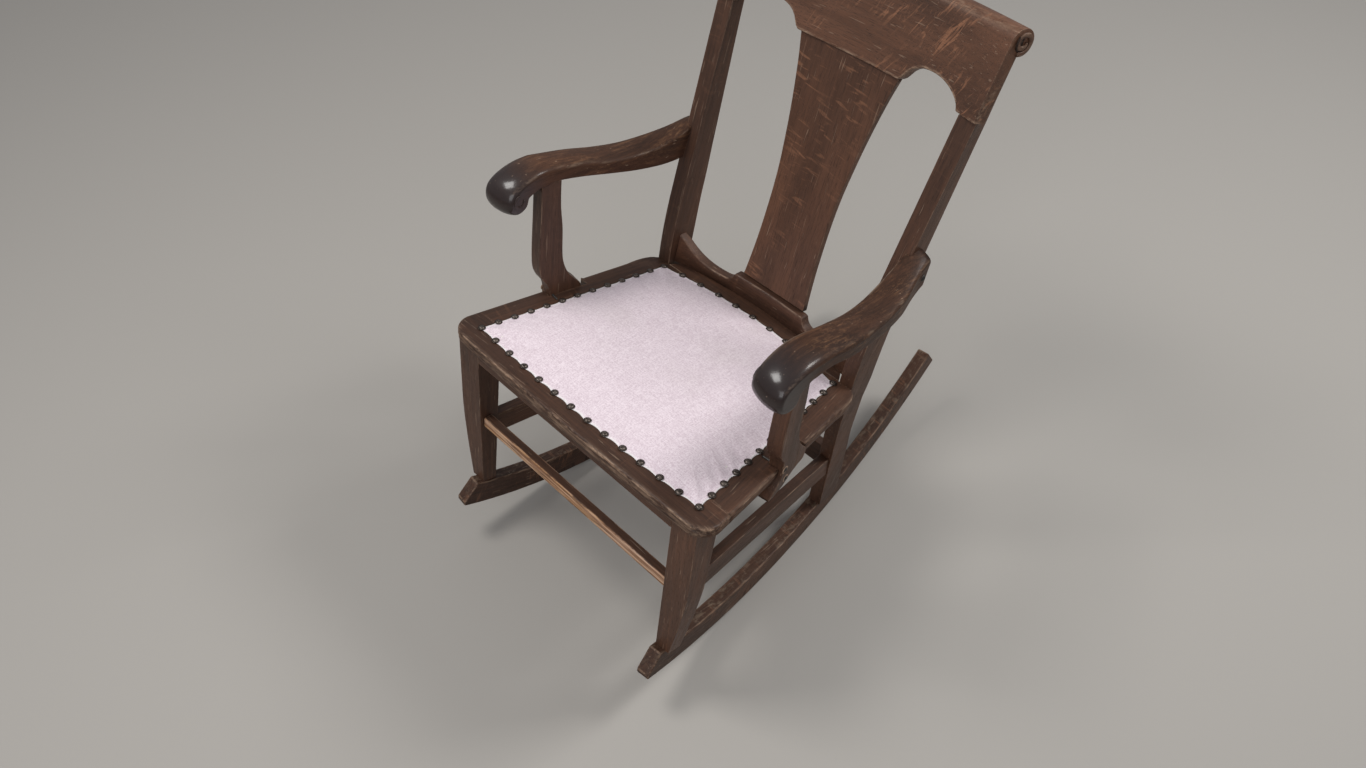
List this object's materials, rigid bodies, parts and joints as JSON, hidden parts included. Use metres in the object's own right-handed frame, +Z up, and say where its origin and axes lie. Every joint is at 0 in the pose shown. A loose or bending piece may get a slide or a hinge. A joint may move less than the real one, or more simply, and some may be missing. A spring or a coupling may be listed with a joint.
{
  "type": "rocking chair",
  "caption": "Armed rocking chair in dark stained oak with rolled crest, shaped splat, scrolled arms, upholstered board seat and two bent runners.",
  "frame": {"origin": "middle of the bounding box on the floor under the runners, chair at rest", "axes": "+X to the sitter's left (a viewer's right from the front; pieces named right are at +X), +Y from the seat's front towards the back, +Z up"},
  "size_m": [0.58, 0.7962, 0.8744],
  "materials": {
    "frame_oak": "dark brown stained oak, satin varnish, open grain, worn edges",
    "runner_oak": "dark stained oak, dusty top, worn ends",
    "worn_oak": "dark oak worn back to raw tan grain on its front face",
    "arm_oak": "near black hand-worn oak with a glossy polish",
    "quartered_oak": "quarter-sawn oak with ray flecks, satin varnish",
    "hidden_oak": "oak left plain where it is hidden",
    "blackened_iron": "dark iron",
    "steel_screw": "dull steel",
    "jute_webbing": "woven jute strip",
    "jute_cloth": "plain jute cloth",
    "cotton_felt": "white cotton felt",
    "cover_cloth": "pale pinkish off-white heathered cloth",
    "antique_nail": "antique bronze upholstery nail, dark rim"
  },
  "bodies": {
    "root": {"runner_left": "runner_oak", "runner_right": "runner_oak", "front_leg_left": "frame_oak", "front_leg_right": "frame_oak", "back_post_left": "frame_oak", "back_post_right": "frame_oak", "front_stretcher": "worn_oak", "back_stretcher": "frame_oak", "side_stretcher_left": "frame_oak", "side_stretcher_right": "frame_oak", "seat_board_front": "frame_oak", "seat_board_left": "frame_oak", "seat_board_right": "frame_oak", "seat_board_back": "frame_oak", "front_apron": "frame_oak", "side_rail_left": "hidden_oak", "side_rail_right": "hidden_oak", "corner_blocks": "hidden_oak", "corner_block_screws": "steel_screw", "lower_back_rail": "frame_oak", "splat": "quartered_oak", "crest_panel": "quartered_oak", "arm_left": "arm_oak", "arm_right": "arm_oak", "arm_support_left": "frame_oak", "arm_support_right": "frame_oak", "arm_screws": "blackened_iron", "support_screws": "blackened_iron", "runner_screws": "steel_screw", "crest_screws": "blackened_iron", "seat_webbing": "jute_webbing", "seat_burlap": "jute_cloth", "seat_stuffing": "cotton_felt", "seat_cover": "cover_cloth", "cover_nails": "antique_nail"}
  },
  "joints": []
}
